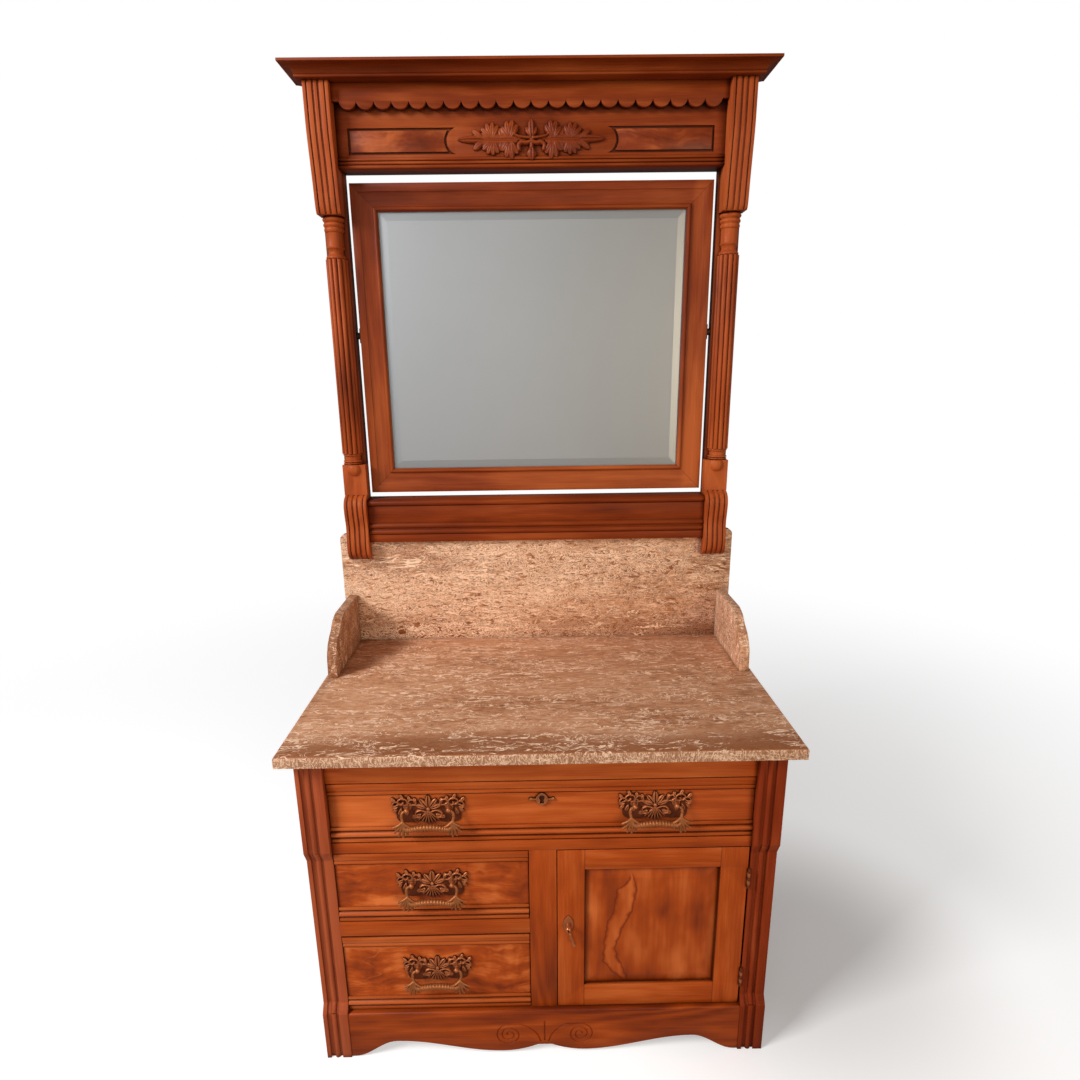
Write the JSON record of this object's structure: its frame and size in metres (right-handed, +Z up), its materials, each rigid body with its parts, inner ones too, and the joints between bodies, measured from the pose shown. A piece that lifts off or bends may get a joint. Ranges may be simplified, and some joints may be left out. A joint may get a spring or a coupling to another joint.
{
  "type": "washstand",
  "caption": "Wooden washstand with three drawers, a cupboard, a marble top with splashes and a tilting bevelled mirror in a tall harp under a scalloped cornice.",
  "frame": {"origin": "middle of the footprint, on the floor", "axes": "+Z up, the front faces -Y, +X to the right seen from the front"},
  "size_m": [0.992, 0.552, 1.97],
  "materials": {
    "case_wood": "shellac, satin gloss",
    "harp_wood": "shellac, satin gloss",
    "inner_wood": "bare, aged",
    "marble": "honed",
    "brass": "antiqued",
    "dark_metal": "dark",
    "mirror_glass": "silvered, bevelled"
  },
  "bodies": {
    "cabinet": {"front_post_left": "case_wood", "front_post_right": "case_wood", "rear_posts": "case_wood", "side_rails": "case_wood", "side_panels": "case_wood", "top_rail": "case_wood", "drawer_rail": "case_wood", "small_drawer_rail": "case_wood", "centre_stile": "case_wood", "apron": "case_wood", "bottom_board": "inner_wood", "partition": "inner_wood", "back_panel": "inner_wood", "back_rail": "inner_wood", "web_frame": "inner_wood", "drawer_runners": "inner_wood", "door_stop": "inner_wood", "marble_top": "marble", "marble_backsplash": "marble", "marble_side_left": "marble", "marble_side_right": "marble", "harp_stile_left": "harp_wood", "harp_stile_right": "harp_wood", "flared_post_left": "harp_wood", "flared_post_right": "harp_wood", "half_column_left": "harp_wood", "half_column_right": "harp_wood", "scroll_bracket_left": "harp_wood", "scroll_bracket_right": "harp_wood", "harp_bottom_rail": "harp_wood", "frieze_board": "harp_wood", "leaf_carving": "harp_wood", "valance": "harp_wood", "cornice": "harp_wood", "mirror_pivot_plates": "dark_metal", "hinges_fixed": "brass"},
    "mirror": {"mirror_frame": "harp_wood", "mirror_glass": "mirror_glass", "mirror_backboard": "inner_wood", "mirror_pivots": "dark_metal"},
    "top_drawer": {"top_drawer_front": "case_wood", "top_drawer_box": "inner_wood", "drawer_lock": "dark_metal", "escutcheon": "brass", "top_pull_plates": "brass"},
    "lock_bolt": {"lock_bolt": "brass"},
    "top_bail_left": {"top_bail_left": "brass"},
    "top_bail_right": {"top_bail_right": "brass"},
    "upper_drawer": {"upper_drawer_front": "case_wood", "upper_drawer_box": "inner_wood", "upper_pull_plate": "brass"},
    "upper_bail": {"upper_bail": "brass"},
    "lower_drawer": {"lower_drawer_front": "case_wood", "lower_drawer_box": "inner_wood", "lower_pull_plate": "brass"},
    "lower_bail": {"lower_bail": "brass"},
    "door": {"door_frame": "case_wood", "door_panel": "case_wood", "door_fittings": "brass"},
    "door_drop": {"door_drop": "brass"}
  },
  "joints": [
    {"name": "top_drawer_slide", "type": "slide", "parent": "cabinet", "child": "top_drawer", "axis": [0, -1, 0], "range_m": [0, 0.3]},
    {"name": "upper_drawer_slide", "type": "slide", "parent": "cabinet", "child": "upper_drawer", "axis": [0, -1, 0], "range_m": [0, 0.3]},
    {"name": "lower_drawer_slide", "type": "slide", "parent": "cabinet", "child": "lower_drawer", "axis": [0, -1, 0], "range_m": [0, 0.3]},
    {"name": "lock_bolt_throw", "type": "slide", "parent": "top_drawer", "child": "lock_bolt", "axis": [0, 0, 1], "range_m": [0, 0.007]},
    {"name": "door_swing", "type": "hinge", "parent": "cabinet", "child": "door", "pos_m": [0.398, -0.244, 0], "axis": [0, 0, 1], "range_deg": [0, 105]},
    {"name": "mirror_tilt", "type": "hinge", "parent": "cabinet", "child": "mirror", "pos_m": [0, 0.2635, 1.456], "axis": [1, 0, 0], "range_deg": [-25, 25]},
    {"name": "top_bail_left_swing", "type": "hinge", "parent": "top_drawer", "child": "top_bail_left", "pos_m": [-0.212, -0.25, 0.5865], "axis": [-1, 0, 0], "range_deg": [0, 95]},
    {"name": "top_bail_right_swing", "type": "hinge", "parent": "top_drawer", "child": "top_bail_right", "pos_m": [0.212, -0.25, 0.5865], "axis": [-1, 0, 0], "range_deg": [0, 95]},
    {"name": "upper_bail_swing", "type": "hinge", "parent": "upper_drawer", "child": "upper_bail", "pos_m": [-0.21325, -0.25, 0.42], "axis": [-1, 0, 0], "range_deg": [0, 95]},
    {"name": "lower_bail_swing", "type": "hinge", "parent": "lower_drawer", "child": "lower_bail", "pos_m": [-0.21325, -0.25, 0.2175], "axis": [-1, 0, 0], "range_deg": [0, 95]},
    {"name": "door_drop_swing", "type": "hinge", "parent": "door", "child": "door_drop", "pos_m": [0.049, -0.254, 0.3165], "axis": [-0.9613, 0, -0.2756], "range_deg": [0, 80]}
  ]
}
